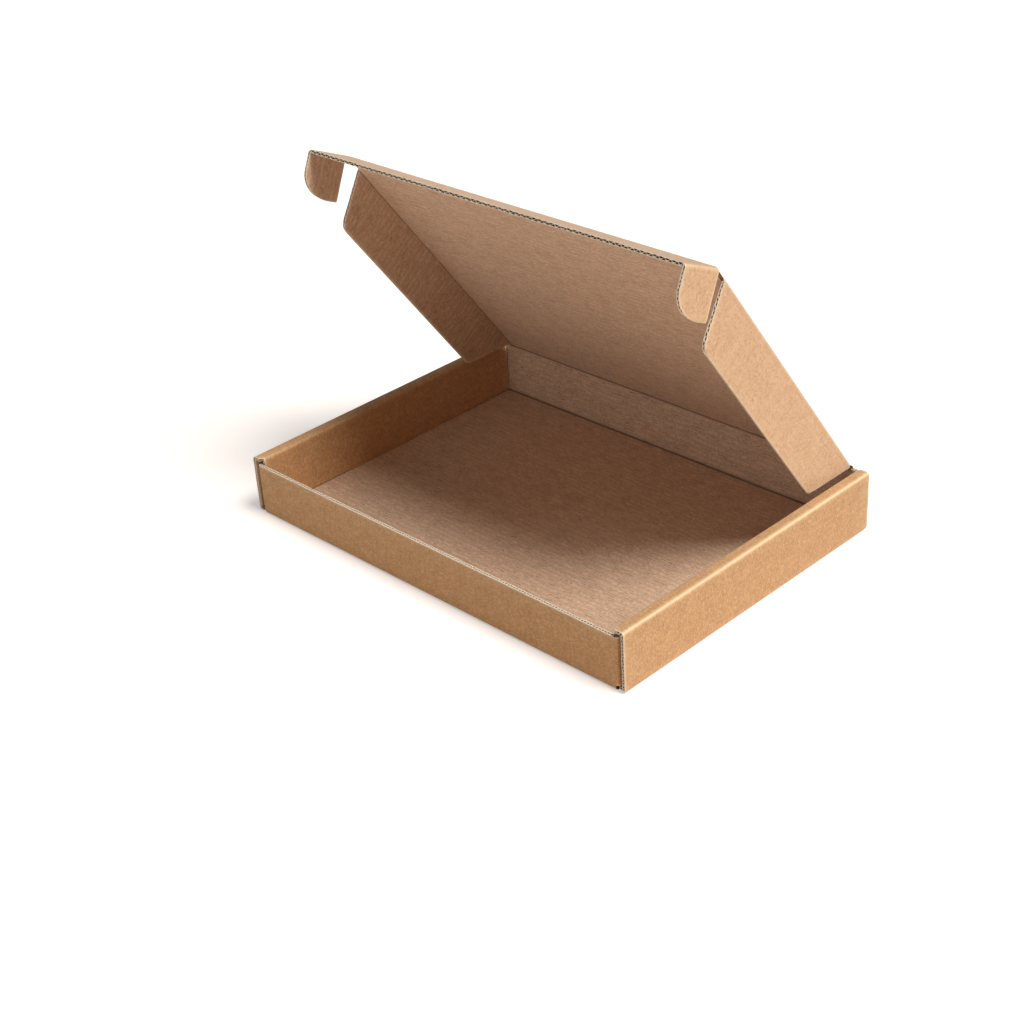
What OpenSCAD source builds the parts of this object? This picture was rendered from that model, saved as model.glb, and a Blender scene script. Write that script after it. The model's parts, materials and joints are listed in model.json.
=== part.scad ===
// Flat mailer folded from one sheet of corrugated board, with rolled side walls and a tuck-in lid.
// It stands assembled and open. Millimetres, X along the front wall, Y to the back, Z up.
// The origin is at the middle of the tray's underside.
// Flutes run from front to back in the flat sheet, so their ends show at the front wall's top,
// at the ends of the side walls and along the lid's tuck edge.

/* [Board] */
// Thickness of the corrugated board
board = 1.6; // [1.3:0.1:1.8]
// Spacing of the flutes
flute_pitch = 3.1; // [2.8:0.1:4]
// Thickness of one liner sheet
liner = 0.22; // [0.15:0.01:0.3]
// Thickness of the fluted sheet between the liners
medium = 0.2; // [0.15:0.01:0.3]
// How deep the flutes stay open behind a cut edge
flute_depth = 2; // [1:0.5:4]
// Outer radius of a hard fold
fold_r = 1.9; // [1.8:0.1:2.2]

/* [Tray] */
// Width over the side walls
tray_w = 227; // [180:1:300]
// Depth over the front and back walls
tray_d = 162; // [120:1:220]
// Height of the side walls and of the lid's crease
tray_h = 29; // [26:1:40]
// How far the front wall's cut edge stays below the side walls
front_drop = 3.5; // [2.5:0.5:6]
// Width of the strip rolled over each side wall
roll_w = 6.4; // [6:0.1:9]
// How far the cut ends of a side wall stay back from the front and back walls
end_step = 0.3; // [0.2:0.1:1]
// Play between two layers of board that lie side by side
layer_gap = 0.5; // [0.2:0.1:0.6]
// Length of the corner flaps inside the rolled side walls
corner_flap = 56; // [30:1:60]
// How much narrower a corner flap is at its tip
corner_taper = 1.5; // [0:0.5:4]
// Length of the locking tab in the base
tab_l = 56; // [30:1:80]

/* [Lid] */
// Depth of the lid from its crease to the tuck's crease
lid_d = 156.2; // [110:0.2:156.6]
// Play between the lid's side flaps and the tray, room for an ear included
lid_play = 2.3; // [2.3:0.1:4]
// Width of the side flaps
side_flap = 24.2; // [14:0.2:24.6]
// Distance from the lid's crease to the side flap's hinge end
side_gap = 2.1; // [1.9:0.1:6]
// Distance from the tuck's crease to the side flap at the lid
side_start = 8; // [4:0.5:20]
// How far a side flap's front edge slants back over its width
side_slant = 11; // [0:0.5:20]
// How far a side flap's hinge end slants forward over its width
hinge_slant = 18; // [4:0.5:24]
// Radius of the side flaps' front corner
side_r = 6; // [2:0.5:8]
// Radius of the side flaps' hinge corner
side_hinge_r = 3; // [1:0.5:6]

/* [Tuck] */
// Depth of the tuck flap
tuck_d = 22.5; // [14:0.5:25]
// Play between an ear and the tray's side wall
ear_play = 0.4; // [0.3:0.1:0.5]
// Length of the ears
ear_l = 20.5; // [14:0.5:30]
// Distance from the tuck's crease to the ear's straight edge
ear_start = 1.4; // [0.8:0.2:4]
// Length of the big round at the front of an ear, along the ear
ear_round_l = 12; // [6:0.5:14]
// Length of the big round, across the ear
ear_round_w = 17; // [6:0.5:20]

/* [Folds] */
// Angle of the open lid above its closed place
lid_open = 53.5; // [30:0.5:95]
// Fold of the tuck flap out of the lid's plane
tuck_fold = 30; // [0:1:95]
// Fold of the ears out of the tuck's plane
ear_fold = 90; // [0:1:90]
// Fold of the side flaps out of the lid's plane
side_fold = 90; // [86:1:120]
// Width of the slit between a crease and the panel that turns on it
crease_gap = 0.3; // [0.2:0.05:0.4]

/* [Hidden] */
KRAFT = [0.72, 0.55, 0.36];
LINING = [0.80, 0.68, 0.56];
// Segments in a quarter turn of a fold
FOLD_STEPS = 5;
// Segments in a quarter turn of a rounded corner
ROUND_STEPS = 8;
// How far joined shapes reach into each other
OVERLAP = 0.05;
// Inner radius of a hard fold
fold_in_r = fold_r - board;
half_w = tray_w / 2;
half_d = tray_d / 2;
front_h = tray_h - front_drop;
// Half of the room between the inner side walls
room_half = half_w - roll_w;
// Outer face of the corner flaps
flap_x = half_w - board - layer_gap;
// Radius of the bead that a moving panel turns on, and the distance at which that panel starts
bead_r = board / 2;
panel_start = bead_r + crease_gap;
// The lid turns on the top of the back wall
hinge_y = half_d - bead_r;
hinge_z = tray_h - bead_r;
// The side flaps turn on the inner edge of the lid, so their folds stand out by the board's thickness
lid_half = room_half - lid_play - board;
tuck_half = room_half - ear_play - bead_r;

// Points of an arc round c, from angle a to angle b
function arc(c, r, a, b, steps) = [for (i = [0:steps]) c + r * [cos(a + (b - a) * i / steps), sin(a + (b - a) * i / steps)]];

// Points of a quarter ellipse round c
function quarter(c, rx, ry, a, b, steps) =
    [for (i = [0:steps]) c + [rx * cos(a + (b - a) * i / steps), ry * sin(a + (b - a) * i / steps)]];

// Cut end of a board of length l, with the voids above and below the fluted sheet left open
module board_end(l) {
    count = floor((l - 2 * flute_pitch) / flute_pitch);
    start = (l - count * flute_pitch) / 2;
    top = board / 2 - liner;
    low = medium - top;
    wide = flute_pitch * 0.4;
    narrow = flute_pitch * 0.1;
    difference() {
        translate([0, -board / 2]) square([l, board]);
        for (i = [0:count - 1]) {
            x = start + (i + 0.5) * flute_pitch;
            translate([x, 0]) polygon([[-wide, top], [wide, top], [narrow, low], [-narrow, low]]);
            translate([x + flute_pitch / 2, 0])
                polygon([[-wide, -top], [wide, -top], [narrow, -low], [-narrow, -low]]);
        }
    }
}

// A panel that lies flat along -Y from 0 to d, w wide about x = 0, with open flutes at its far end
module fluted_panel(w, d) {
    translate([-w / 2, -d + flute_depth, -board / 2]) cube([w, d - flute_depth, board]);
    translate([-w / 2, -d + flute_depth + OVERLAP, 0])
        rotate([90, 0, 0]) linear_extrude(flute_depth + OVERLAP) board_end(w);
}

// Bead of a crease along X, w long about x = 0
module crease_bead(w) {
    translate([-w / 2, 0, 0]) rotate([0, 90, 0]) cylinder(r = bead_r, h = w, $fn = 32);
}

// Base, front wall and back wall in one profile across Y, between the corner folds
module floor_and_ends() {
    half_l = flap_x - fold_r;
    profile = concat(
        [[-half_d, front_h - flute_depth]],
        arc([-half_d + fold_r, fold_r], fold_r, 180, 270, FOLD_STEPS),
        arc([half_d - fold_r, fold_r], fold_r, 270, 360, FOLD_STEPS),
        [[half_d, hinge_z], [half_d - board, hinge_z]],
        arc([half_d - fold_r, fold_r], fold_in_r, 0, -90, FOLD_STEPS),
        arc([-half_d + fold_r, fold_r], fold_in_r, 270, 180, FOLD_STEPS),
        [[-half_d + board, front_h - flute_depth]]);
    translate([-half_l, 0, 0]) rotate([90, 0, 90]) linear_extrude(2 * half_l) polygon(profile);
    translate([-half_l, -half_d + board / 2, front_h - flute_depth - OVERLAP])
        linear_extrude(flute_depth + OVERLAP) board_end(2 * half_l);
    translate([0, hinge_y, hinge_z]) crease_bead(2 * (lid_half + board));
}

// One rolled side wall at +X: base edge, outer wall, roll and inner wall
module side_wall() {
    inner_x = room_half;
    base_in = inner_x - 2 * board;
    roll_arc_out = half_w - fold_r;
    roll_arc_in = inner_x + fold_r;
    outer_l = tray_d - 2 * end_step;
    inner_l = tray_d - 2 * (board + layer_gap);
    foot = board + layer_gap / 2;
    // outer wall, with the roll and the base edge
    shell = concat(
        [[base_in, 0]],
        arc([roll_arc_out, fold_r], fold_r, 270, 360, FOLD_STEPS),
        arc([roll_arc_out, tray_h - fold_r], fold_r, 0, 90, FOLD_STEPS),
        arc([roll_arc_in, tray_h - fold_r], fold_r, 90, 180, FOLD_STEPS),
        arc([roll_arc_in, tray_h - fold_r], fold_in_r, 180, 90, FOLD_STEPS),
        arc([roll_arc_out, tray_h - fold_r], fold_in_r, 90, 0, FOLD_STEPS),
        arc([roll_arc_out, fold_r], fold_in_r, 0, -90, FOLD_STEPS),
        [[base_in, board]]);
    lap = flute_depth + OVERLAP;
    rotate([90, 0, 0]) translate([0, 0, -outer_l / 2 + flute_depth])
        linear_extrude(outer_l - 2 * flute_depth) polygon(shell);
    for (end = [-1, 1])
        scale([1, end, 1]) translate([0, -outer_l / 2 + lap, 0]) rotate([90, 0, 0]) linear_extrude(lap)
            difference() {
                polygon(shell);
                translate([half_w - board, fold_r]) square([board, tray_h - 2 * fold_r]);
            }
    for (end = [-1, 1])
        translate([half_w - board / 2, end * (outer_l / 2 - lap / 2) + lap / 2, fold_r])
            rotate([90, 0, 0]) linear_extrude(lap) rotate(90) board_end(tray_h - 2 * fold_r);
    // inner wall, down to the base
    translate([inner_x, -inner_l / 2, foot]) cube([board, inner_l, tray_h - fold_r - foot]);
    // locking tab in its slot
    translate([inner_x, -tab_l / 2, layer_gap / 2]) cube([board, tab_l, foot]);
}

// Slot in the base for the locking tab at +X
module tab_slot() {
    translate([room_half - layer_gap / 2, -tab_l / 2 - layer_gap, -1])
        cube([board + layer_gap, tab_l + 2 * layer_gap, board + 2]);
}

// Corner flap at the front wall's +X end, folded back between the layers of the side wall
module corner_flap_at(h) {
    x_in = flap_x - board;
    z_low = board + 2 * layer_gap;
    bend = concat(
        arc([flap_x - fold_r, -half_d + fold_r], fold_r, 270, 360, FOLD_STEPS),
        arc([flap_x - fold_r, -half_d + fold_r], fold_in_r, 0, -90, FOLD_STEPS));
    translate([0, 0, z_low]) linear_extrude(h - z_low) polygon(bend);
    run = corner_flap - fold_r;
    side = [
        [-half_d + fold_r - OVERLAP, z_low],
        [-half_d + fold_r + run, z_low + corner_taper],
        [-half_d + fold_r + run, h - layer_gap],
        [-half_d + fold_r - OVERLAP, h - layer_gap]];
    translate([x_in, 0, 0]) rotate([90, 0, 90]) linear_extrude(board) polygon(side);
}

module tray() {
    color(KRAFT) union() {
        difference() {
            floor_and_ends();
            for (side = [0, 1]) mirror([side, 0, 0]) tab_slot();
        }
        for (side = [0, 1]) mirror([side, 0, 0]) difference() {
            side_wall();
            difference() {
                tab_slot();
                translate([room_half, -tab_l / 2, 0]) cube([board, tab_l, board + 3]);
            }
        }
        for (side = [0, 1]) mirror([side, 0, 0]) {
            corner_flap_at(front_h);
            mirror([0, 1, 0]) corner_flap_at(front_h);
        }
    }
}

// Places of the moving panels. Each is drawn flat along -Y or +X from its own crease.
module at_lid() {
    translate([0, hinge_y, hinge_z]) rotate([-lid_open, 0, 0]) children();
}
module at_tuck() {
    at_lid() translate([0, -lid_d, 0]) rotate([tuck_fold, 0, 0]) children();
}
module at_ear(side) {
    at_tuck() scale([side, 1, 1]) translate([tuck_half, 0, 0]) rotate([0, ear_fold, 0]) children();
}
module at_side_flap(side) {
    at_lid() scale([side, 1, 1]) translate([lid_half, 0, -board / 2]) rotate([0, side_fold, 0]) children();
}

// Quarter round of the fold between the lid and a side flap, l long along Z
module side_crease(l) {
    intersection() {
        cylinder(r = board, h = l, $fn = 32);
        translate([-OVERLAP, 0, 0]) cube([board + 2 * OVERLAP, board + OVERLAP, l]);
    }
}

module lid() {
    w = 2 * lid_half;
    color(KRAFT) at_lid() union() {
        translate([-w / 2, -lid_d, -board / 2]) cube([w, lid_d - panel_start, board]);
        translate([0, -lid_d, 0]) crease_bead(w);
        for (side = [-1, 1]) scale([side, 1, 1]) translate([lid_half, -panel_start, -board / 2])
            rotate([90, 0, 0]) side_crease(lid_d - panel_start);
    }
}

module tuck_flap() {
    w = 2 * tuck_half;
    color(KRAFT) at_tuck() union() {
        difference() {
            fluted_panel(w, tuck_d);
            translate([-w, -panel_start, -board]) cube([2 * w, 2 * panel_start, 2 * board]);
        }
        for (side = [-1, 1]) translate([side * tuck_half, -ear_start, 0])
            rotate([90, 0, 0]) cylinder(r = bead_r, h = tuck_d - ear_start, $fn = 32);
    }
}

// Ear in its own plane: straight edge by the lid, big round at the front
module ear(side) {
    outline = concat(
        [[panel_start, -ear_start], [ear_l, -ear_start]],
        quarter([ear_l - ear_round_l, -tuck_d + ear_round_w], ear_round_l, ear_round_w, 0, -90, 2 * ROUND_STEPS),
        [[panel_start, -tuck_d]]);
    color(LINING) at_ear(side) translate([0, 0, -board / 2]) linear_extrude(board) polygon(outline);
}

// Corner of an outline: two points that replace a corner p by a round of radius r
function rounded(p, before, after, r) =
    let (
        u = (before - p) / norm(before - p),
        v = (after - p) / norm(after - p),
        half = acos(u * v) / 2,
        reach = r / tan(half),
        centre = p + (u + v) / norm(u + v) * r / sin(half),
        a = atan2((p + u * reach - centre)[1], (p + u * reach - centre)[0]),
        b = atan2((p + v * reach - centre)[1], (p + v * reach - centre)[0]),
        turn = (b - a) - 360 * round((b - a) / 360)
    )
    arc(centre, r, a, a + turn, ROUND_STEPS);

// Side flap in its own plane, with its inner face on that plane: slanted ends and rounded corners
module side_flap_at(side) {
    hinge_end = [crease_gap, -side_gap];
    hinge_tip = [side_flap, -side_gap - hinge_slant];
    front_tip = [side_flap, -lid_d + side_start + side_slant];
    front_end = [crease_gap, -lid_d + side_start];
    outline = concat(
        [hinge_end],
        rounded(hinge_tip, hinge_end, front_tip, side_hinge_r),
        rounded(front_tip, hinge_tip, front_end, side_r),
        [front_end]);
    color(LINING) at_side_flap(side) linear_extrude(board) polygon(outline);
}

module ear_left() { ear(-1); }
module ear_right() { ear(1); }
module side_flap_left() { side_flap_at(-1); }
module side_flap_right() { side_flap_at(1); }

tray();
lid();
tuck_flap();
ear_left();
ear_right();
side_flap_left();
side_flap_right();
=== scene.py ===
import json
import math

import bpy
import numpy as np
from mathutils import Matrix, Vector


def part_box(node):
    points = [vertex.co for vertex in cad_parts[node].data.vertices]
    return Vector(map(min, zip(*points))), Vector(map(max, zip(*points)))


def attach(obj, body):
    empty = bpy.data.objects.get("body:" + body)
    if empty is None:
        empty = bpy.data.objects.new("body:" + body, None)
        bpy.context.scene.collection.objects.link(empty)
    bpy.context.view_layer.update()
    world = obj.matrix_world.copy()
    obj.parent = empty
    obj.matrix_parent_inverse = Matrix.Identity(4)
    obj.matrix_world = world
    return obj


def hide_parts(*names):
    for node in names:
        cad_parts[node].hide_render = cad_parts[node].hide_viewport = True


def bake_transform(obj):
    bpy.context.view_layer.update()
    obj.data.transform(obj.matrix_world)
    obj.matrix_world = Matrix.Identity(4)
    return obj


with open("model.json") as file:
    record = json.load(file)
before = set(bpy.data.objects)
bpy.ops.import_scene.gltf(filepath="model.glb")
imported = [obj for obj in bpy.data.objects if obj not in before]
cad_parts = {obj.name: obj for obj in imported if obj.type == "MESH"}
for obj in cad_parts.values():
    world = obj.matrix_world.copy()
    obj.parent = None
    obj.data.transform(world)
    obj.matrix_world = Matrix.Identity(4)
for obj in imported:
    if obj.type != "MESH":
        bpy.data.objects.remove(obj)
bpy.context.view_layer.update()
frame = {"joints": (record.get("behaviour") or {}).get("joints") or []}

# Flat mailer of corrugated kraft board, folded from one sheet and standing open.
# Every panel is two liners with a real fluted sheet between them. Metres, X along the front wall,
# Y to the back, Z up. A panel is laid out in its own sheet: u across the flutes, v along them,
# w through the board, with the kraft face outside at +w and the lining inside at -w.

MM = 0.001

# Board
BOARD = 1.6 * MM
LINER = 0.22 * MM
MEDIUM = 0.2 * MM
FLUTE = 3.1 * MM
# Spacing of the dark rows on the lining, in millimetres
ROW = 3.0
FOLD_MID = 1.1 * MM
FOLD_STEPS = 10
GAP = 0.5 * MM
# Spacing of the stations of a mesh: across the flutes, in the waves, and along the flutes
HALF_FLUTE = FLUTE / 2
QUARTER_FLUTE = FLUTE / 4
WAVE_STEP = FLUTE / 10
TRAY_STEP = 8 * MM
PANEL_STEP = 6 * MM
TUCK_STEP = 4 * MM
EAR_STEP = 3 * MM
POST_STEP = 2 * MM
CROSS_CREASE_STEP = MM / 3
LONG_CREASE_STEP = MM / 4
CROSS_FOLD_STEPS = 14
LONG_FOLD_STEPS = 24
# Stations beside a fold, and behind a cut
BESIDE_FOLD = np.array([0.3, 0.8, 1.6]) * MM
BEHIND_CUT = np.array([0.12, 0.3, 0.6, 1.2]) * MM
# Reach of the painted shade beside a fold, of its pale ridge (worn paper and a painted highlight), and of
# the paler paper at a cut (worn fibres and a painted highlight)
CREASE_SHADE_REACH = 0.45 * MM
RIDGE_HALF = 0.12 * MM
RIDGE_REACH = 0.3 * MM
CUT_WEAR_AND_HIGHLIGHT_REACH = 0.5 * MM
# How far the liners are pressed together at a cut across the flutes, at a cut along them, and how
# far behind the cut that reaches
CUT_PRESS = 0.08 * MM
SIDE_PRESS = 0.3 * MM
CUT_REACH = 0.45 * MM
# How much the cut papers swell, how much on the tuck, and how far behind the cut
FRAY = 0.13 * MM
CLEAN_FRAY = 0.02 * MM
FRAY_REACH = 0.35 * MM
# How deep the fluted sheet sits in the liners, and its share of their swelling
SEATED = 0.02 * MM
WAVE_SWELL = 0.8

# Tray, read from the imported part
tray_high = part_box("tray")[1]
HALF_W = tray_high.x
HALF_D = tray_high.y
TRAY_H = tray_high.z
FRONT_DROP = 3.5 * MM
FRONT_H = TRAY_H - FRONT_DROP
ROLL_W = 6.4 * MM
END_STEP = 0.3 * MM
FOLD_OUT = FOLD_MID + BOARD / 2
ROOM_HALF = HALF_W - ROLL_W
FLAP_X = ROOM_HALF + 2 * BOARD + GAP / 2
CORNER_FLAP = 56 * MM
CORNER_TAPER = 1.5 * MM
CORNER_EASE = 0.5 * MM
TAB = 56 * MM
# Over this length the rolled wall's ends step in from the outer layer to the inner one
STEP_IN = 0.4 * MM

# Moving panels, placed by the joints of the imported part
joints = {joint["name"]: joint for joint in frame["joints"]}
lid_axis = Vector(joints["lid_hinge"]["pos_m"])
tuck_axis = Vector(joints["tuck_fold"]["pos_m"])
ear_axis = Vector(joints["ear_right_fold"]["axis"])
LID_D = (tuck_axis - lid_axis).length
LID_OPEN = math.atan2(tuck_axis.z - lid_axis.z, lid_axis.y - tuck_axis.y)
TUCK_FOLD = LID_OPEN - math.atan2(abs(ear_axis.z), abs(ear_axis.y))
LID_HALF = joints["side_right_fold"]["pos_m"][0]
TUCK_HALF = joints["ear_right_fold"]["pos_m"][0]
SLIT = 0.3 * MM
PANEL_START = BOARD / 2 + SLIT
SIDE_FLAP = 24.2 * MM
SIDE_GAP = 2.1 * MM
SIDE_START = 8 * MM
SIDE_SLANT = 11 * MM
HINGE_SLANT = 18 * MM
SIDE_R = 6 * MM
SIDE_HINGE_R = 3 * MM
TUCK_D = 22.5 * MM
EAR_L = 20.5 * MM
EAR_START = 1.4 * MM
EAR_ROUND_L = 12 * MM
EAR_ROUND_W = 17 * MM
NOTCH = MM / 50
# Half the length of the span across each crease whose two ends are worked out, and then not used
CROSS_BLEND = 0.78 * MM
LONG_BLEND = 0.15 * MM

# Material slots of every piece
OUTSIDE, INSIDE, CORE = range(3)


class Path:
    """Middle line of a folded strip.
    Each leg is a straight length, and then a fold: its turn, its radius and how pale its ridge is, as
    worn paper and a painted highlight."""

    def __init__(self, start, heading, legs, outside=1):
        self.start = np.array(start, float)
        self.heading = math.radians(heading)
        self.legs = [(length, math.radians(turn), radius, wear_and_highlight)
                     for length, turn, radius, wear_and_highlight in (leg + (0,) * (4 - len(leg)) for leg in legs)]
        self.outside = outside
        self.folds = []
        run = 0.0
        for length, turn, radius, wear_and_highlight in self.legs:
            run += length
            if turn:
                self.folds.append((run, run + abs(turn) * radius, wear_and_highlight))
                run = self.folds[-1][1]
        self.length = run

    def at(self, s, w):
        """Places of the points at length s along the line and w off it, to the outside."""
        a, b = np.zeros_like(s), np.zeros_like(s)
        run, here, heading = 0.0, self.start, self.heading
        for number, (length, turn, radius, wear_and_highlight) in enumerate(self.legs):
            ahead = np.array([math.cos(heading), math.sin(heading)])
            on = s >= run - 1e-9 if number else np.ones_like(s, bool)
            a[on] = here[0] + (s[on] - run) * ahead[0] + w[on] * self.outside * ahead[1]
            b[on] = here[1] + (s[on] - run) * ahead[1] - w[on] * self.outside * ahead[0]
            run += length
            here = here + length * ahead
            if turn:
                way = math.copysign(1, turn)
                centre = here + radius * way * np.array([-ahead[1], ahead[0]])
                on = s >= run - 1e-9
                angle = heading + way * (s[on] - run) / radius
                off = radius * way + w[on] * self.outside
                a[on] = centre[0] + off * np.sin(angle)
                b[on] = centre[1] - off * np.cos(angle)
                run += abs(turn) * radius
                heading += turn
                here = centre + radius * way * np.array([math.sin(heading), -math.cos(heading)])
        return a, b

    def stations(self, step, steps=FOLD_STEPS):
        """Lengths along the line for a mesh: evenly spaced on the straights and dense in the folds."""
        marks = [0.0]
        for first, last, wear_and_highlight in self.folds + [(self.length, self.length, 0)]:
            if first > marks[-1] + 1e-7:
                count = max(1, math.ceil((first - marks[-1]) / step))
                marks += list(np.linspace(marks[-1], first, count + 1)[1:])
            if last > first:
                marks += list(np.linspace(first, last, steps + 1)[1:])
                if step > BESIDE_FOLD[-1]:
                    beside = np.concatenate([first - BESIDE_FOLD, last + BESIDE_FOLD])
                    marks += [place for place in beside if 0 < place < self.length]
                    marks.sort()
        return np.array(marks)


def evenly(first, last, step):
    return np.linspace(first, last, max(1, math.ceil((last - first) / step)) + 1)


def merged(*marks):
    """Several runs of stations as one, with each place once."""
    return np.unique(np.round(np.concatenate(marks), 7))


def near_cuts(marks, at_first=True, at_last=True):
    """Adds the close stations that a pressed cut edge needs at the ends of a run."""
    more = [marks]
    if at_first:
        more.append(marks[0] + BEHIND_CUT)
    if at_last:
        more.append(marks[-1] - BEHIND_CUT)
    return merged(*more)


class Sheet:
    """Collects the liners and flutes of one piece, laid out flat, and folds them into a mesh."""

    def __init__(self, name):
        self.name = name
        self.points, self.sheet, self.marks = [], [], []
        self.faces, self.slots = [], []
        self.count = 0

    def layer(self, us, vs, top, bottom, slots, place, folds=(), cuts=(), along="v", keep=None):
        """One closed layer over the grid us by vs, between the surfaces top and bottom."""
        u = np.repeat(us[:, None], vs.shape[1], 1)
        n, m = u.shape
        kept = np.ones((n - 1, m - 1), bool) if keep is None else keep(
            (u[:-1, :-1] + u[1:, 1:]) / 2, (vs[:-1, :-1] + vs[1:, 1:]) / 2)
        line = vs if along == "v" else u
        ridge, crease_shade = np.zeros_like(u), np.zeros_like(u)
        for first, last, strength in folds:
            away = np.maximum(np.maximum(first - line, line - last), 0)
            # The band beside a fold is painted shade: it darkens the lining in the crease.
            crease_shade = np.maximum(crease_shade, np.exp(-away / CREASE_SHADE_REACH))
            # The ridge of a fold is paler: worn paper, and a painted highlight that is strongest on the
            # outer top fold of the side walls.
            off_ridge = np.maximum(abs(line - (first + last) / 2) - RIDGE_HALF, 0)
            ridge = np.maximum(ridge, strength * np.exp(-off_ridge / RIDGE_REACH))
        far = {"u0": u - us[0], "u1": us[-1] - u, "v0": vs - vs[:, :1], "v1": vs[:, -1:] - vs}
        across = min_of([far[c] for c in cuts if c[0] == "v"], u)
        beside = min_of([far[c] for c in cuts if c[0] == "u"], u)
        press = CUT_PRESS * uneven(u) * np.exp(-across / CUT_REACH)
        press = press + SIDE_PRESS * np.exp(-beside / CUT_REACH)
        # Paler paper near a cut: torn, worn fibres, and partly a painted highlight on the rims.
        wear_and_highlight = np.exp(-np.minimum(across, beside) / CUT_WEAR_AND_HIGHLIGHT_REACH)
        placed = []
        for surface in (top, bottom):
            du, w, swell = surface(u)
            w = w * (1 - press / (BOARD / 2)) + swell * np.exp(-across / FRAY_REACH)
            placed.append((u + du, vs, w))
        index = np.arange(n * m).reshape(n, m)
        upper, lower = index + self.count, index + self.count + n * m
        for pu, pv, pw in placed:
            flat = [pu.ravel(), pv.ravel(), pw.ravel()]
            self.points.append(place(*flat))
            self.sheet.append(np.stack(flat, 1))
            self.marks.append(np.stack([ridge.ravel(), wear_and_highlight.ravel(), crease_shade.ravel()], 1))
        self.count += 2 * n * m
        mirrored = handedness(place, us.mean(), vs.mean()) < 0
        i, j = np.nonzero(kept)
        self.quads(upper[i, j], upper[i + 1, j], upper[i + 1, j + 1], upper[i, j + 1], slots[0], mirrored)
        self.quads(lower[i, j], lower[i, j + 1], lower[i + 1, j + 1], lower[i + 1, j], slots[1], mirrored)
        solid = np.zeros((n + 1, m + 1), bool)
        solid[1:-1, 1:-1] = kept
        i, j = np.nonzero(solid[1:-1, 1:] & ~solid[1:-1, :-1])
        self.quads(upper[i, j], lower[i, j], lower[i + 1, j], upper[i + 1, j], slots[2], mirrored)
        i, j = np.nonzero(solid[1:-1, :-1] & ~solid[1:-1, 1:])
        self.quads(upper[i, j], upper[i + 1, j], lower[i + 1, j], lower[i, j], slots[2], mirrored)
        i, j = np.nonzero(solid[1:, 1:-1] & ~solid[:-1, 1:-1])
        self.quads(upper[i, j], upper[i, j + 1], lower[i, j + 1], lower[i, j], slots[2], mirrored)
        i, j = np.nonzero(solid[:-1, 1:-1] & ~solid[1:, 1:-1])
        self.quads(upper[i, j], lower[i, j], lower[i, j + 1], upper[i, j + 1], slots[2], mirrored)

    def quads(self, a, b, c, d, slot, mirrored):
        faces = np.stack([d, c, b, a] if mirrored else [a, b, c, d], 1)
        self.faces.append(faces)
        self.slots.append(np.full(len(faces), slot, np.int32))

    def board(self, us, ends, vs_of, place, folds=(), cuts=(), along="v", keep=None, fine=None,
              fray=FRAY):
        """A panel of whole board: both liners and the flutes between them."""
        half = BOARD / 2
        common = {"place": place, "folds": folds, "cuts": cuts, "along": along, "keep": keep}
        vs = vs_of(us, ends)
        inner = half - LINER
        self.layer(us, vs, level(half), level(inner, -fray), (OUTSIDE, CORE, CORE), **common)
        self.layer(us, vs, level(-inner, fray), level(-half), (CORE, INSIDE, CORE), **common)
        waves = evenly(us[0], us[-1], WAVE_STEP) if fine is None else fine
        waves = merged(waves, us) if keep is not None else waves
        rows = vs_of(waves, ends)
        self.layer(waves, rows, flutes(1, fray), flutes(-1, fray), (CORE, CORE, CORE), **common)

    def build(self, materials):
        mesh = bpy.data.meshes.new(self.name)
        points = np.concatenate(self.points)
        faces = np.concatenate(self.faces)
        mesh.from_pydata(points.tolist(), [], faces.tolist())
        mesh.polygons.foreach_set("material_index", np.concatenate(self.slots))
        mesh.polygons.foreach_set("use_smooth", np.ones(len(faces), bool))
        for name, values in (("sheet", self.sheet), ("marks", self.marks)):
            layer = mesh.attributes.new(name, "FLOAT_VECTOR", "POINT")
            layer.data.foreach_set("vector", np.concatenate(values).astype(np.float32).ravel())
        mesh.set_sharp_from_angle(angle=math.radians(38))
        for material in materials:
            mesh.materials.append(material)
        mesh.validate()
        piece = bpy.data.objects.new(self.name, mesh)
        bpy.context.scene.collection.objects.link(piece)
        return piece


def min_of(distances, like):
    nearest = np.full_like(like, 1.0)
    for distance in distances:
        nearest = np.minimum(nearest, distance)
    return nearest


def handedness(place, u, v):
    """Whether a placement keeps u, v, w right-handed, or mirrors them."""
    step = 1e-5
    origin = place(*[np.array([x]) for x in (u, v, 0.0)])[0]
    axes = [place(*[np.array([x]) for x in p])[0] - origin
            for p in ((u + step, v, 0.0), (u, v + step, 0.0), (u, v, step))]
    return np.linalg.det(np.array(axes))


def uneven(u):
    """How hard the cutting rule pressed at each place along a cut, about 1."""
    swing, drift, ripple = 4.1 * MM, 11.3 * MM, 1.7 * MM
    long = np.sin(u / swing) * np.sin(u / drift + 1)
    return np.maximum(1 + 0.9 * long + 0.5 * np.sin(u / ripple), 0)


def level(w, swell=0.0):
    """Surface of a liner, w off the middle of the board, that swells at a cut."""
    return lambda u: (np.zeros_like(u), np.full_like(u, w), swell)


def flutes(side, fray):
    """Surface of the fluted sheet: a sine wave between the liners, with the sheet's thickness."""
    height = BOARD / 2 - LINER - MEDIUM / 2 + SEATED

    def surface(u):
        turn = 2 * math.pi * u / FLUTE
        w = height * np.cos(turn)
        slope = -height * 2 * math.pi / FLUTE * np.sin(turn)
        size = np.sqrt(1 + slope ** 2)
        inner = (u > u.min() + 1e-9) & (u < u.max() - 1e-9)
        du = -slope / size * side * MEDIUM / 2 * inner
        return du, w + side * MEDIUM / 2 / size, side * fray * WAVE_SWELL
    return surface


def straight(us, marks):
    """The same stations along the flutes in every column."""
    return np.repeat(marks[None, :], len(us), 0)


def between(first, last):
    """Stations between two outlines, given as functions of u, in the same shares in every column."""
    def spread(us, marks):
        share = (marks - marks[0]) / (marks[-1] - marks[0])
        low, high = first(us), last(us)
        return low[:, None] + (high - low)[:, None] * share[None, :]
    return spread


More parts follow.
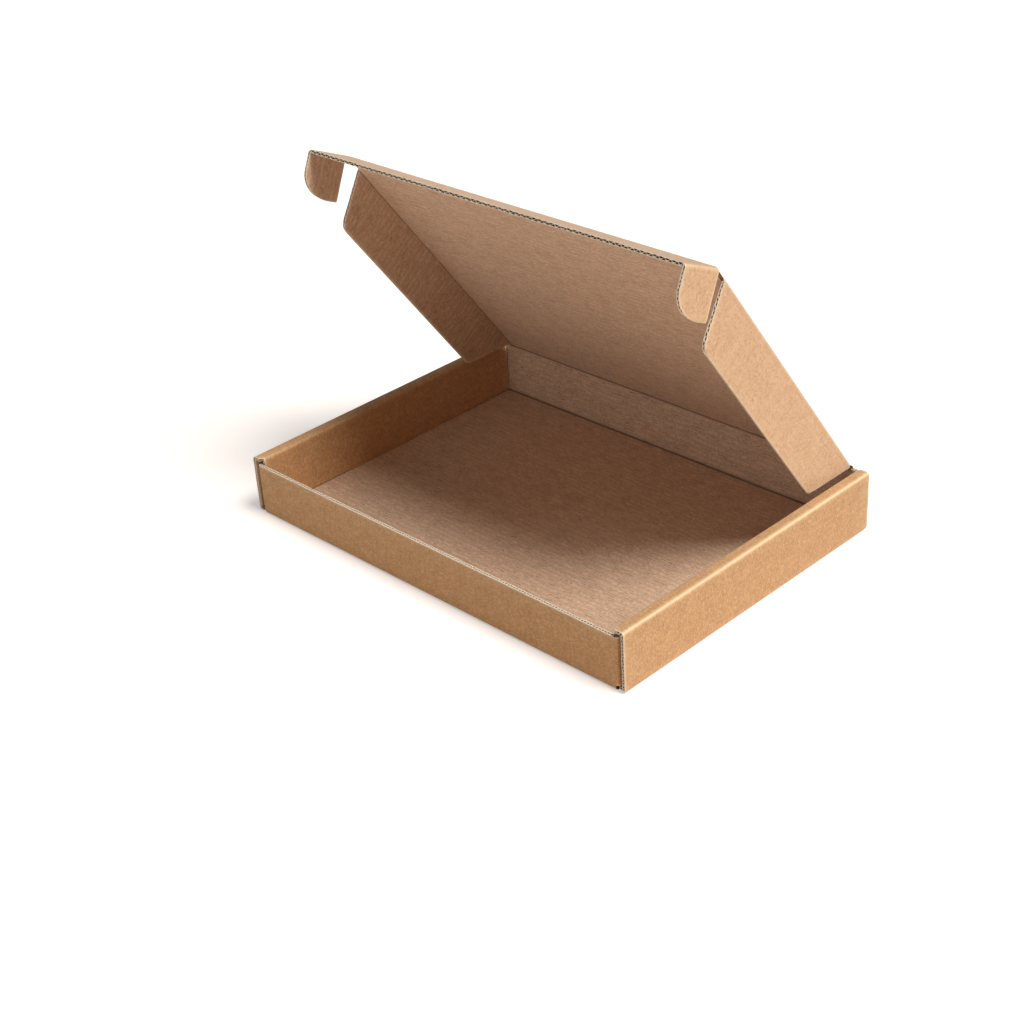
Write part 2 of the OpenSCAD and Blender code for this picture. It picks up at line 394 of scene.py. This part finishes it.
def slanted(u0, u1, start, slant, radius):
    """Outline of a panel's end that slants back over its width, with a round at its far corner."""
    run = u1 - u0
    length = math.hypot(run, slant)
    centre_u = u1 - radius
    centre_v = start + (radius * length + (centre_u - u0) * slant) / run
    tangent = centre_u + radius * slant / length

    def outline(u):
        line = start + (u - u0) / run * slant
        inside = np.clip(radius ** 2 - (u - centre_u) ** 2, 0, None)
        return np.where(u > tangent, centre_v - np.sqrt(inside), line)
    return outline


def rounded_marks(u0, u1, radius, step):
    """Stations across a panel, close together where its corners are round."""
    bend = u1 - radius * (1 - np.sin(np.linspace(0, math.pi / 2, 13)))
    return merged(evenly(u0, u1, step), bend)


def laid(matrix):
    """Placement of a flat panel drawn along -Y from its crease."""
    m = np.array(matrix)
    return lambda u, v, w: np.stack([u, -v, w], 1) @ m[:3, :3].T + m[:3, 3]


def across_fold(matrix, path):
    """Placement of a strip that folds about an axis along the flutes, in a panel's own plane."""
    m = np.array(matrix)

    def place(u, v, w):
        a, b = path.at(u, w)
        return np.stack([a, -v, b], 1) @ m[:3, :3].T + m[:3, 3]
    return place


# Places of the moving panels at rest
def mirror_x(side):
    return Matrix.Diagonal((side, 1, 1, 1))


at_lid = Matrix.Translation((0, lid_axis.y, lid_axis.z)) @ Matrix.Rotation(-LID_OPEN, 4, "X")
at_tuck = at_lid @ Matrix.Translation((0, -LID_D, 0)) @ Matrix.Rotation(TUCK_FOLD, 4, "X")


def at_ear(side):
    quarter_turn = Matrix.Rotation(math.pi / 2, 4, "Y")
    return at_tuck @ mirror_x(side) @ Matrix.Translation((TUCK_HALF, 0, 0)) @ quarter_turn


def at_side_flap(side):
    quarter_turn = Matrix.Rotation(math.pi / 2, 4, "Y")
    fold = Matrix.Translation((LID_HALF, 0, -BOARD / 2))
    return at_lid @ mirror_x(side) @ fold @ quarter_turn @ Matrix.Translation((0, 0, BOARD / 2))


# Camera, at the photograph's place and angle. Millimetres, metres and degrees.
SENSOR = 36
FOCAL_LENGTH = 64.6
CAMERA_PLACE = (0.5073, -0.5110, 0.4258)
CAMERA_TURN = (59.667, 3.235, 44.453)


def camera():
    data = bpy.data.cameras.new("camera")
    data.sensor_width = SENSOR
    data.lens = FOCAL_LENGTH
    data.clip_start = 0.01
    view = bpy.data.objects.new("camera", data)
    view.location = CAMERA_PLACE
    view.rotation_euler = [math.radians(angle) for angle in CAMERA_TURN]
    bpy.context.scene.collection.objects.link(view)
    bpy.context.scene.camera = view


class Value:
    """A shader socket with arithmetic. Each operation adds its Math node."""

    def __init__(self, shader, socket):
        self.shader, self.socket = shader, socket

    def math(self, operation, *values):
        inputs = dict(enumerate(values))
        return self.shader.node("ShaderNodeMath", {"operation": operation}, inputs)

    def __add__(self, other):
        return self.math("ADD", self, other)

    def __sub__(self, other):
        return self.math("SUBTRACT", self, other)

    def __rsub__(self, other):
        return self.math("SUBTRACT", other, self)

    def __mul__(self, other):
        return self.math("MULTIPLY", self, other)

    def __truediv__(self, other):
        return self.math("DIVIDE", self, other)

    def __pow__(self, other):
        return self.math("POWER", self, other)

    __radd__ = __add__
    __rmul__ = __mul__


class Shader:
    """The node tree of a material or of the world."""

    def __init__(self, owner):
        self.owner = owner
        owner.use_nodes = True
        self.tree = owner.node_tree
        self.tree.nodes.clear()

    def node(self, kind, settings=None, inputs=None, output=0):
        made = self.tree.nodes.new(kind)
        for name, value in (settings or {}).items():
            if name == "stops":
                ramp = made.color_ramp.elements
                while len(ramp) < len(value):
                    ramp.new(0.5)
                for stop, (place, shade) in zip(ramp, value):
                    stop.position = place
                    stop.color = shade
            else:
                setattr(made, name, value)
        for name, value in (inputs or {}).items():
            if isinstance(value, Value):
                self.tree.links.new(value.socket, made.inputs[name])
            elif value is not None:
                made.inputs[name].default_value = value
        return Value(self, made.outputs[output])

    def attribute(self, name):
        return self.node("ShaderNodeAttribute", {"attribute_name": name}, output="Vector")

    def parts(self, vector):
        return [self.node("ShaderNodeSeparateXYZ", None, {0: vector}, axis) for axis in range(3)]

    def place(self):
        """Place in the flat sheet in millimetres: u across the flutes and v along them."""
        return [part / MM for part in self.parts(self.attribute("sheet"))[:2]]

    def marks(self):
        """How near a fold's pale ridge (worn paper and a painted highlight), a cut (worn fibres and a
        painted highlight) and a fold (its painted shade) are.
        """
        return self.parts(self.attribute("marks"))

    def vector(self, x, y, z=0.0):
        return self.node("ShaderNodeCombineXYZ", None, {0: x, 1: y, 2: z})

    def noise(self, vector, scale, detail=3.0, roughness=0.55):
        return self.node("ShaderNodeTexNoise", None, {
            "Vector": vector, "Scale": scale, "Detail": detail, "Roughness": roughness})

    def between(self, value, low, high):
        """0 below low, 1 above high, and smooth in between."""
        settings = {"interpolation_type": "SMOOTHSTEP"}
        return self.node("ShaderNodeMapRange", settings, {0: value, 1: low, 2: high})

    def mix(self, share, first, second, kind="MIX"):
        settings = {"data_type": "RGBA", "blend_type": kind}
        return self.node("ShaderNodeMix", settings, {0: share, 6: first, 7: second}, output=2)

    def bump(self, height, distance, strength=1.0):
        return self.node("ShaderNodeBump", None, {
            "Height": height, "Distance": distance, "Strength": strength})

    def surface(self, colour, rough, normal, shine, sheen=0.0):
        return self.end(self.node("ShaderNodeBsdfPrincipled", None, {
            "Base Color": colour, "Roughness": rough, "Normal": normal,
            "Specular IOR Level": shine, "Sheen Weight": sheen, "Sheen Roughness": 0.4}))

    def end(self, shaded, kind="ShaderNodeOutputMaterial"):
        out = self.tree.nodes.new(kind)
        self.tree.links.new(shaded.socket, out.inputs[0])
        return self.owner


def material(name):
    return Shader(bpy.data.materials.new(name))


def colour(red, green, blue):
    """A colour given in sRGB, 0 to 255, as the linear colour that a shader takes."""
    linear = [((c / 255 + 0.055) / 1.055) ** 2.4 if c > 10 else c / 255 / 12.92
              for c in (red, green, blue)]
    return (*linear, 1.0)


def paper(shader, u, v):
    """What all the papers share: soft blotches, fibres that lie along u, grain and fine tooth."""
    blotch = shader.noise(shader.vector(u * 0.12, v * 0.16), 1.0, 4.0, 0.6)
    fibre = shader.noise(shader.vector(u * 0.4, v * 2.2), 1.0, 3.0, 0.65)
    grain = shader.noise(shader.vector(u * 0.9, v * 1.3, 3.7), 1.0, 3.0, 0.75)
    tooth = shader.noise(shader.vector(u * 4.0, v * 5.0), 1.0, 2.0, 0.6)
    return blotch, fibre, grain, tooth


def speckled(shader, shade, fibre, grain, pale, dark):
    """A paper's base colour with its pale and dark grain and its pale fibres."""
    shade = shader.mix(shader.between(grain, 0.5, 0.7) * 0.55, shade, pale)
    shade = shader.mix(shader.between(1 - grain, 0.5, 0.7) * 0.5, shade, dark)
    return shader.mix(shader.between(fibre, 0.5, 0.74) * 0.35, shade, pale)


def kraft_liner(name, low, high):
    """Outer liner: golden kraft paper with long fibres, faint painted shade of the washboard along the
    flutes, and paler folds of worn paper with a painted highlight.
    """
    s = material(name)
    u, v = s.place()
    ridge, cut = s.marks()[:2]
    blotch, fibre, grain, tooth = paper(s, u, v)
    shade = s.mix(s.between(blotch, 0.25, 0.75), low, high)
    shade = speckled(s, shade, fibre, grain, colour(236, 196, 150), colour(144, 98, 58))
    flake = s.noise(s.vector(u * 0.7, v * 1.6), 1.3, 2.0, 0.5)
    shade = s.mix(s.between(flake, 0.7, 0.76) * 0.4, shade, colour(110, 72, 40))
    # The flute lines are painted shade of the washboard, beside its bump.
    turn = u * (2 * math.pi / (FLUTE / MM))
    wash = turn.math("SINE", turn)
    shade = s.mix((wash * 0.5 + 0.5) * 0.06, shade, colour(150, 100, 54))
    # Paler fold ridges: worn paper and a painted highlight.
    shade = s.mix(ridge * (tooth * 0.5 + 0.45), shade, colour(250, 224, 184))
    # Paler rims at the cuts: worn fibres and a painted highlight.
    shade = s.mix(cut * (grain * 0.8 + 0.35), shade, colour(252, 228, 190))
    height = wash * 0.02 + tooth * 0.03 + fibre * 0.04 + grain * 0.05
    return s.surface(shade, tooth * 0.2 + 0.62, s.bump(height, 1 * MM, 0.7), 0.3, 0.5)


def lining_paper():
    """Inner liner: pinkish recycled paper with thin broken dark lines in rows across the flutes."""
    s = material("lining_paper")
    u, v = s.place()
    cut, crease_shade = s.marks()[1:]
    blotch, fibre, grain, tooth = paper(s, u, v)
    shade = s.mix(s.between(blotch, 0.25, 0.75), colour(209, 173, 142), colour(224, 188, 157))
    shade = speckled(s, shade, fibre, grain, colour(250, 220, 194), colour(142, 106, 80))
    wander = s.noise(s.vector(u * 0.035, v * 0.06), 1.0, 3.0) * 1.6
    for pitch, reach, gate, strength in ((ROW, 0.1, 0.48, 0.62), (ROW / 2, 0.11, 0.54, 0.34)):
        row = v / pitch + wander * (ROW / pitch)
        centre = row.math("FRACT", row) - 0.5
        line = 1 - s.between(centre.math("ABSOLUTE", centre), reach * 0.3, reach)
        number = row.math("FLOOR", row)
        broken = s.noise(s.vector(u * 0.16, number * 7.31, pitch), 1.0, 4.0, 0.75)
        dash = line * s.between(broken, gate, gate + 0.1)
        shade = s.mix(dash * strength, shade, colour(86, 60, 48))
    sway = (v / ROW + wander) * (2 * math.pi)
    rib = sway.math("COSINE", sway)
    shade = s.mix((rib * 0.5 + 0.5) * (grain * 0.34 + 0.04), shade, colour(124, 92, 70))
    # Painted shade in the crease beside each fold, darkening the lining there.
    shade = s.mix(crease_shade * 0.75, shade, colour(74, 46, 30))
    # Paler rims at the cuts: worn fibres and a painted highlight.
    shade = s.mix(cut * (grain * 0.8 + 0.3), shade, colour(250, 228, 200))
    height = tooth * 0.04 + fibre * 0.03 + grain * 0.06 - rib * 0.02
    return s.surface(shade, tooth * 0.2 + 0.7, s.bump(height, 1 * MM, 0.7), 0.25, 0.1)


def core_paper():
    """Fluted sheet and cut edges: raw paper, brown inside the board and pale where it is cut."""
    s = material("core_paper")
    cut = s.marks()[1]
    grain, tooth = paper(s, *s.place())[2:]
    shade = s.mix(s.between(grain, 0.35, 0.65), colour(128, 90, 56), colour(168, 124, 82))
    shade = s.mix(cut ** 3.0, shade, colour(255, 236, 212))
    return s.surface(shade, tooth * 0.1 + 0.85, s.bump(tooth * 0.05, 1 * MM, 0.5), 0.0)


# The tray
def tray(materials):
    sheet = Sheet("tray_board")
    half_l = FLAP_X - FOLD_OUT
    # front wall, base and back wall in one strip along the flutes
    profile = Path(
        (-HALF_D + BOARD / 2, FRONT_H), -90,
        [(FRONT_H - FOLD_OUT, 90, FOLD_MID, 0.3), (2 * (HALF_D - FOLD_OUT), 90, FOLD_MID, 0.3),
         (lid_axis.z - PANEL_START - FOLD_OUT, 0, 0)])

    def strip(u, v, w):
        y, z = profile.at(v, w)
        return np.stack([u, y, z], 1)

    base_start = profile.folds[0][1]
    slot_low, slot_high = ROOM_HALF - GAP / 2, ROOM_HALF + BOARD + GAP / 2
    middle = base_start + HALF_D - FOLD_OUT
    slot_run = TAB / 2 + GAP

    def keep(u, v):
        in_slot = (abs(u) > slot_low) & (abs(u) < slot_high) & (abs(v - middle) < slot_run)
        return ~in_slot

    edges = [-slot_high, -slot_low, slot_low, slot_high]
    us = merged(evenly(-half_l, half_l, HALF_FLUTE), edges)
    marks = near_cuts(profile.stations(TRAY_STEP), True, False)
    marks = merged(marks, [middle - slot_run, middle + slot_run])
    sheet.board(us, marks, straight, strip, profile.folds, ("v0",), keep=keep)
    # top of the back wall beside the lid's crease
    for side in (-1, 1):
        post = sorted([side * (LID_HALF + BOARD + GAP / 5), side * half_l])
        top = evenly(profile.length, profile.length + PANEL_START, POST_STEP)
        sheet.board(evenly(*post, HALF_FLUTE), top, straight, strip, (), ("v1",))
        side_wall(sheet, side, half_l)
        for end in (-1, 1):
            corner_flap(sheet, side, end, half_l)
    piece = sheet.build(materials)
    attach(piece, "tray")
    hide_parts("tray")


def side_wall(sheet, side, half_l):
    """Rolled side wall: up outside, over the top and down inside to the base."""
    path = Path(
        (half_l, BOARD / 2), 0,
        [(HALF_W - FOLD_OUT - half_l, 90, FOLD_MID, 0.5),
         (TRAY_H - 2 * FOLD_OUT, 90, FOLD_MID, 1.0),
         (ROLL_W - 2 * FOLD_OUT, 90, FOLD_MID, 0.25),
         (TRAY_H - FOLD_OUT - BOARD - GAP, 0, 0)])
    outer_end = HALF_D - END_STEP
    inner_end = HALF_D - BOARD - GAP
    notch, rise = path.folds[0][:2]
    top_in = path.folds[2][0]

    def reach(u):
        """Half the length of the wall at each place along its path."""
        near_base = np.clip((u - notch) / (rise - notch), 0, 1)
        low = HALF_D - FOLD_OUT + (outer_end - HALF_D + FOLD_OUT) * np.sqrt(near_base)
        inside = np.clip((u - top_in) / STEP_IN, 0, 1)
        return low + (inner_end - outer_end) * inside

    def place(u, v, w):
        x, z = path.at(u, w)
        return np.stack([side * x, v, z], 1)

    us = merged(path.stations(HALF_FLUTE), [top_in + STEP_IN])
    marks = near_cuts(evenly(-1.0, 1.0, 0.1) * outer_end)
    sheet.board(us, marks, between(lambda u: -reach(u), reach), place, path.folds,
                ("v0", "v1"), "u", fine=path_waves(path))
    # locking tab, from the inner wall into its slot in the base
    tab = Path((ROOM_HALF + BOARD / 2, BOARD + GAP), -90, [(BOARD + GAP / 2, 0, 0)])

    def place_tab(u, v, w):
        x, z = tab.at(u, w)
        return np.stack([side * x, v, z], 1)

    marks = near_cuts(evenly(-TAB / 2, TAB / 2, TRAY_STEP))
    sheet.board(evenly(0, tab.length, QUARTER_FLUTE), marks, straight, place_tab, (), ("v0", "v1"), "u")


def path_waves(path):
    """Fine stations for the flutes along a path, with the ends of its folds among them."""
    ends = [place for fold in path.folds for place in fold[:2]]
    return merged(evenly(0, path.length, WAVE_STEP), ends)


def corner_flap(sheet, side, end, half_l):
    """Flap at a front or back wall's end, folded in between the layers of the side wall."""
    path = Path((half_l, -HALF_D + BOARD / 2), 0,
                [(0, 90, FOLD_MID), (CORNER_FLAP - FOLD_OUT, 0, 0)])
    low = BOARD + 2 * GAP
    bend = path.folds[0][1]

    def foot(u):
        return low + CORNER_TAPER * np.clip((u - bend) / (path.length - bend), 0, 1)

    def head(u):
        return FRONT_H - GAP * np.clip((u - bend) / CORNER_EASE, 0, 1)

    def place(u, v, w):
        x, y = path.at(u, w)
        return np.stack([side * x, -end * y, v], 1)

    us = merged(path.stations(FLUTE), [bend + CORNER_EASE])
    sheet.board(us, near_cuts(evenly(low, FRONT_H, PANEL_STEP)), between(foot, head), place,
                path.folds, ("v0", "v1", "u1"), "u", fine=path_waves(path))


# The moving panels
def lid(materials):
    sheet = Sheet("lid_board")
    marks = evenly(PANEL_START, LID_D - PANEL_START, PANEL_STEP)
    us = evenly(-LID_HALF, LID_HALF, HALF_FLUTE)
    sheet.board(us, marks, straight, laid(at_lid))
    piece = sheet.build(materials)
    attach(piece, "lid")
    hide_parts("lid")


def tuck(materials):
    sheet = Sheet("tuck_board")
    half = TUCK_HALF - PANEL_START

    def start(u):
        return np.where(abs(u) > LID_HALF, EAR_START, PANEL_START)

    notches = [-LID_HALF - NOTCH, -LID_HALF, LID_HALF, LID_HALF + NOTCH]
    us = merged(evenly(-half, half, HALF_FLUTE), notches)
    marks = near_cuts(evenly(PANEL_START, TUCK_D, TUCK_STEP), False, True)
    sheet.board(us, marks, between(start, lambda u: 0 * u + TUCK_D),
                laid(at_tuck), (), ("v1",), fray=CLEAN_FRAY)
    piece = sheet.build(materials)
    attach(piece, "tuck")
    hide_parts("tuck_flap")


def ear(side, word, materials):
    sheet = Sheet(f"ear_{word}_board")
    round_u = EAR_L - EAR_ROUND_L

    def front(u):
        share = np.clip((u - round_u) / EAR_ROUND_L, 0, 1)
        return TUCK_D - EAR_ROUND_W + EAR_ROUND_W * np.sqrt(1 - share ** 2)

    us = rounded_marks(PANEL_START, EAR_L, EAR_ROUND_L, QUARTER_FLUTE)
    fine = rounded_marks(PANEL_START, EAR_L, EAR_ROUND_L, WAVE_STEP)
    marks = near_cuts(evenly(EAR_START, TUCK_D, EAR_STEP))
    sheet.board(us, marks, between(lambda u: 0 * u + EAR_START, front), laid(at_ear(side)), (),
                ("u1", "v0", "v1"), fine=fine)
    piece = sheet.build(materials)
    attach(piece, f"ear_{word[0]}")
    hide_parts(f"ear_{word}")


def side_flap(side, word, materials):
    sheet = Sheet(f"side_flap_{word}_board")
    hinge_end = slanted(SLIT, SIDE_FLAP, SIDE_GAP, HINGE_SLANT, SIDE_HINGE_R)
    front_end = slanted(SLIT, SIDE_FLAP, SIDE_START, SIDE_SLANT, SIDE_R)
    us = rounded_marks(SLIT, SIDE_FLAP, SIDE_R, QUARTER_FLUTE)
    fine = rounded_marks(SLIT, SIDE_FLAP, SIDE_R, WAVE_STEP)
    marks = near_cuts(evenly(SIDE_GAP, LID_D - SIDE_START, PANEL_STEP))
    sheet.board(us, marks, between(hinge_end, lambda u: LID_D - front_end(u)),
                laid(at_side_flap(side)), (), ("u1", "v0", "v1"), fine=fine)
    piece = sheet.build(materials)
    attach(piece, f"side_{word[0]}")
    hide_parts(f"side_flap_{word}")


# The creases between the panels, baked in place
def cross_crease(name, matrix, turn, half, materials):
    """Crease across the flutes, about the X axis of a panel's place."""
    sheet = Sheet(name)
    straight_run = PANEL_START - FOLD_MID * math.tan(turn / 2)
    legs = [(straight_run, -math.degrees(turn), FOLD_MID, 0.5), (straight_run, 0, 0)]
    path = Path((-PANEL_START, 0), 0, legs, -1)
    m = np.array(matrix)

    def place(u, v, w):
        a, b = path.at(v, w)
        return np.stack([u, -a, b], 1) @ m[:3, :3].T + m[:3, 3]

    marks = path.stations(CROSS_CREASE_STEP, CROSS_FOLD_STEPS)
    sheet.board(evenly(-half, half, HALF_FLUTE), marks, straight, place, path.folds)
    piece = sheet.build(materials)
    way = Vector((0, -math.cos(turn / 2), -math.sin(turn / 2)))
    start, end = [matrix @ (way * CROSS_BLEND * sign) for sign in (-1, 1)]
    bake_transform(piece)
    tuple(start)
    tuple(end)


def long_crease(name, matrix, start_u, legs, run, reach, materials):
    """Crease along the flutes, at the side of the panel whose place is given."""
    sheet = Sheet(name)
    path = Path((start_u, 0), 0, legs, -1)
    us = path.stations(LONG_CREASE_STEP, LONG_FOLD_STEPS)
    sheet.board(us, near_cuts(evenly(*run, PANEL_STEP)), straight, across_fold(matrix, path),
                path.folds, ("v0", "v1"), "u", fine=np.unique(np.append(path_waves(path), us)))
    piece = sheet.build(materials)
    first, last = [matrix @ Vector((x, 0, z)) for x, z in reach]
    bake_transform(piece)
    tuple(first)
    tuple(last)


def creases(materials):
    fold_in = math.pi / 2 - LID_OPEN
    wall_up = Matrix.Translation(lid_axis) @ Matrix.Rotation(-math.pi / 2, 4, "X")
    cross_crease("lid_crease", wall_up, fold_in, LID_HALF + BOARD, materials)
    tuck_turn = at_lid @ Matrix.Translation((0, -LID_D, 0))
    cross_crease("tuck_crease", tuck_turn, TUCK_FOLD, LID_HALF, materials)
    for side, word in ((-1, "left"), (1, "right")):
        ear_reach = [(TUCK_HALF - LONG_BLEND, LONG_BLEND), (TUCK_HALF + LONG_BLEND, -LONG_BLEND)]
        long_crease(f"ear_{word}_crease", at_tuck @ mirror_x(side), TUCK_HALF - PANEL_START,
                    [(0, -90, FOLD_MID, 0.4)], (EAR_START, TUCK_D), ear_reach,
                    materials)
        edge = -BOARD / 2
        side_reach = [(LID_HALF, edge), (LID_HALF + LONG_BLEND, edge - LONG_BLEND)]
        long_crease(f"side_flap_{word}_crease", at_lid @ mirror_x(side), LID_HALF,
                    [(0, -90, BOARD / 2, 0.4), (SLIT, 0, 0)],
                    (SIDE_GAP, LID_D - SIDE_START), side_reach, materials)


# The studio
AMBIENT = 0.05
WHITE = (1, 1, 1, 1)
# Strength of the floor's own white where the camera sees it
FLOOR_GLOW = 0.44
FLOOR_HALF = 6.0
# Warm white of the floor, which throws its light up into the box
FLOOR_WHITE = (0.84, 0.75, 0.67, 1)
# Place, width in degrees and level of each lamp
LAMPS = {
    "key": ((0.5, 0.11, 1.0), 24, 0.88),
    "side": ((1.0, 0.45, 0.5), 30, 0.29),
    "front": ((0.1, -1.3, 0.35), 30, 0.14),
}


def floor():
    s = material("studio_floor")
    camera_ray, glossy_ray, transmission_ray = [
        s.node("ShaderNodeLightPath", output=f"Is {kind} Ray")
        for kind in ("Camera", "Glossy", "Transmission")]
    seen = camera_ray + glossy_ray + transmission_ray
    plain = s.node("ShaderNodeBsdfDiffuse", None, {"Color": FLOOR_WHITE})
    glow = s.node("ShaderNodeEmission", None, {"Color": WHITE, "Strength": seen * FLOOR_GLOW})
    white = s.end(s.node("ShaderNodeAddShader", None, {0: plain, 1: glow}))
    corners = [(x * FLOOR_HALF, y * FLOOR_HALF, 0) for x, y in ((-1, -1), (1, -1), (1, 1), (-1, 1))]
    mesh = bpy.data.meshes.new("floor")
    mesh.from_pydata(corners, [], [(0, 1, 2, 3)])
    mesh.materials.append(white)
    ground = bpy.data.objects.new("floor", mesh)
    bpy.context.scene.collection.objects.link(ground)


def lamp(name, place, spread, level):
    """A broad even lamp: at level 1 it lights a white surface that faces it as white."""
    data = bpy.data.lights.new(name, "SUN")
    data.angle = math.radians(spread)
    data.energy = level * math.pi
    light = bpy.data.objects.new(name, data)
    light.location = place
    light.rotation_euler = (-Vector(place)).to_track_quat("-Z", "Y").to_euler()
    bpy.context.scene.collection.objects.link(light)


def studio():
    bpy.context.scene.view_settings.view_transform = "Standard"
    world = bpy.data.worlds.new("studio")
    bpy.context.scene.world = world
    s = Shader(world)
    camera_ray, glossy_ray = [
        s.node("ShaderNodeLightPath", output=f"Is {kind} Ray") for kind in ("Camera", "Glossy")]
    seen = camera_ray.math("MAXIMUM", camera_ray, glossy_ray)
    strength = s.node("ShaderNodeMapRange", None, {0: seen, "To Min": AMBIENT})
    light = s.node("ShaderNodeBackground", None, {"Color": WHITE, "Strength": strength})
    s.end(light, "ShaderNodeOutputWorld")
    floor()
    for name, settings in LAMPS.items():
        lamp(name, *settings)


def main():
    camera()
    studio()
    inside = [lining_paper(), core_paper()]
    walls = [kraft_liner("kraft_walls", colour(190, 141, 90), colour(203, 153, 101)), *inside]
    # The lid and its flaps take a paler copy of the same kraft: painted light for the sheen and brighter
    # light they catch.
    pale = [kraft_liner("kraft_flaps", colour(208, 164, 122), colour(221, 178, 138)), *inside]
    tray(walls)
    lid(pale)
    tuck(pale)
    for side, word in ((-1, "left"), (1, "right")):
        ear(side, word, pale)
        side_flap(side, word, pale)
    creases(pale)


main()
